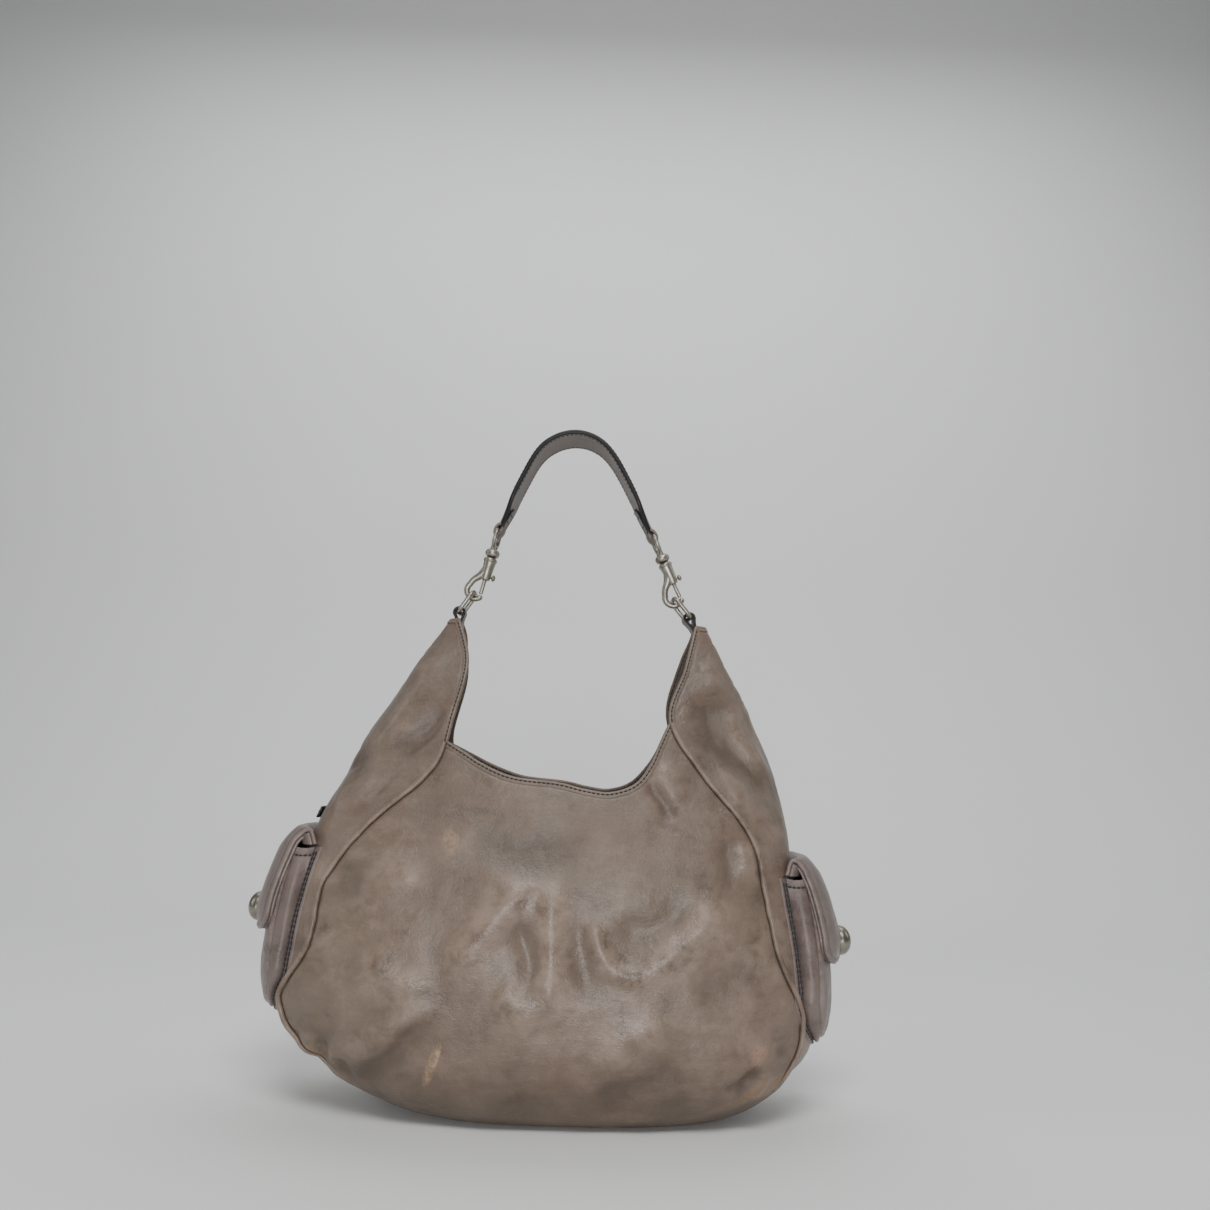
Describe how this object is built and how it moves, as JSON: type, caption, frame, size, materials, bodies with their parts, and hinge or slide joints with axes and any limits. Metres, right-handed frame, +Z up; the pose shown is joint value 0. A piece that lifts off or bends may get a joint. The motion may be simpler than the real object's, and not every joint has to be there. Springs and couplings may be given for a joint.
{
  "type": "hobo bag",
  "caption": "Slouchy leather hobo bag with side gussets rising into two horns, boxed side pockets with domed studs, and a strap clipped on with swivel snap hooks.",
  "frame": {"origin": "middle of the overall box at the surface the bag stands on", "axes": "+Z up, X from horn to horn with the left of the picture at -X, -Y the front; the strap stands up in an arch"},
  "size_m": [0.4492, 0.154, 0.5063],
  "materials": {
    "leather": "soft aniline leather, taupe, satin with fine grain and broad creases",
    "pocket_leather": "the same leather, slightly pinker, smoother",
    "edge_painted_leather": "leather tab with dark painted edges",
    "strap_leather": "double leather strap, taupe faces, black painted edges",
    "lining_fabric": "dark woven lining",
    "zip_tape": "woven zip tape with nickel teeth",
    "dark_plate": "plain dark plate",
    "spring_steel": "coiled wire",
    "satin_nickel": "satin nickel plate, lightly worn"
  },
  "bodies": {
    "bag": {"front_panel": "leather", "back_panel": "leather", "gusset_left": "leather", "gusset_right": "leather", "mouth_binding": "leather", "lining": "lining_fabric", "piping_front_left": "leather", "piping_front_right": "leather", "piping_back_left": "leather", "piping_back_right": "leather", "pocket_face_left": "pocket_leather", "pocket_gusset_left": "pocket_leather", "flap_root_left": "pocket_leather", "snap_post_left": "satin_nickel", "pocket_face_right": "pocket_leather", "pocket_gusset_right": "pocket_leather", "flap_root_right": "pocket_leather", "snap_post_right": "satin_nickel", "ring_keeper_left": "edge_painted_leather", "ring_keeper_right": "edge_painted_leather", "magnet_front": "satin_nickel", "magnet_back": "satin_nickel", "zip_tape": "zip_tape", "side_plate": "dark_plate"},
    "handle": {"strap": "strap_leather", "swivel_eye_left": "satin_nickel", "swivel_eye_right": "satin_nickel"},
    "ring_left": {"strap_ring_left": "satin_nickel"},
    "hook_left": {"hook_body_left": "satin_nickel", "bolt_spring_left": "spring_steel"},
    "bolt_left": {"hook_bolt_left": "satin_nickel"},
    "flap_left": {"pocket_flap_left": "pocket_leather", "flap_stud_left": "satin_nickel", "snap_socket_left": "satin_nickel"},
    "ring_right": {"strap_ring_right": "satin_nickel"},
    "hook_right": {"hook_body_right": "satin_nickel", "bolt_spring_right": "spring_steel"},
    "bolt_right": {"hook_bolt_right": "satin_nickel"},
    "flap_right": {"pocket_flap_right": "pocket_leather", "flap_stud_right": "satin_nickel", "snap_socket_right": "satin_nickel"},
    "zip_slider": {"zip_slider": "satin_nickel"},
    "zip_pull": {"zip_pull": "satin_nickel"}
  },
  "joints": [
    {"name": "handle_swing", "type": "hinge", "parent": "bag", "child": "handle", "pos_m": [0.0097, 0, 0.3684], "axis": [1, 0, 0], "range_deg": [-45, 45]},
    {"name": "left_ring_tilt", "type": "hinge", "parent": "bag", "child": "ring_left", "pos_m": [-0.08097, 0, 0.3563], "axis": [0, 1, 0], "range_deg": [-1.5, 1.5]},
    {"name": "left_hook_swivel", "type": "hinge", "parent": "handle", "child": "hook_left", "pos_m": [-0.05795, 0, 0.40534], "axis": [0.225, 0, 0.9744], "range_deg": [-3, 3]},
    {"name": "left_bolt_slide", "type": "slide", "parent": "hook_left", "child": "bolt_left", "axis": [0.225, 0, 0.9744], "range_m": [0, 0.005], "stiffness_N_per_m": 300, "springref_m": -0.004, "deforming": ["bolt_spring_left"]},
    {"name": "right_ring_tilt", "type": "hinge", "parent": "bag", "child": "ring_right", "pos_m": [0.10008, 0, 0.35734], "axis": [-0.0801, 0.9945, -0.0672], "range_deg": [-1.5, 1.5]},
    {"name": "right_hook_swivel", "type": "hinge", "parent": "handle", "child": "hook_right", "pos_m": [0.07815, 0, 0.40562], "axis": [-0.4305, 0, 0.9026], "range_deg": [-3, 3]},
    {"name": "right_bolt_slide", "type": "slide", "parent": "hook_right", "child": "bolt_right", "axis": [-0.4305, 0, 0.9026], "range_m": [0, 0.005], "stiffness_N_per_m": 300, "springref_m": -0.004, "deforming": ["bolt_spring_right"]},
    {"name": "left_flap_lift", "type": "hinge", "parent": "bag", "child": "flap_left", "pos_m": [-0.188, 0, 0.187], "axis": [0, 1, 0], "range_deg": [0, 110]},
    {"name": "right_flap_lift", "type": "hinge", "parent": "bag", "child": "flap_right", "pos_m": [0.188, 0, 0.176], "axis": [0, -1, 0], "range_deg": [0, 110]},
    {"name": "zip_slide", "type": "slide", "parent": "bag", "child": "zip_slider", "axis": [1, 0, 0], "range_m": [0, 0.118]},
    {"name": "zip_pull_swing", "type": "hinge", "parent": "zip_slider", "child": "zip_pull", "pos_m": [-0.06, 0.04403, 0.1886], "axis": [-1, 0, 0], "range_deg": [0, 110]}
  ]
}
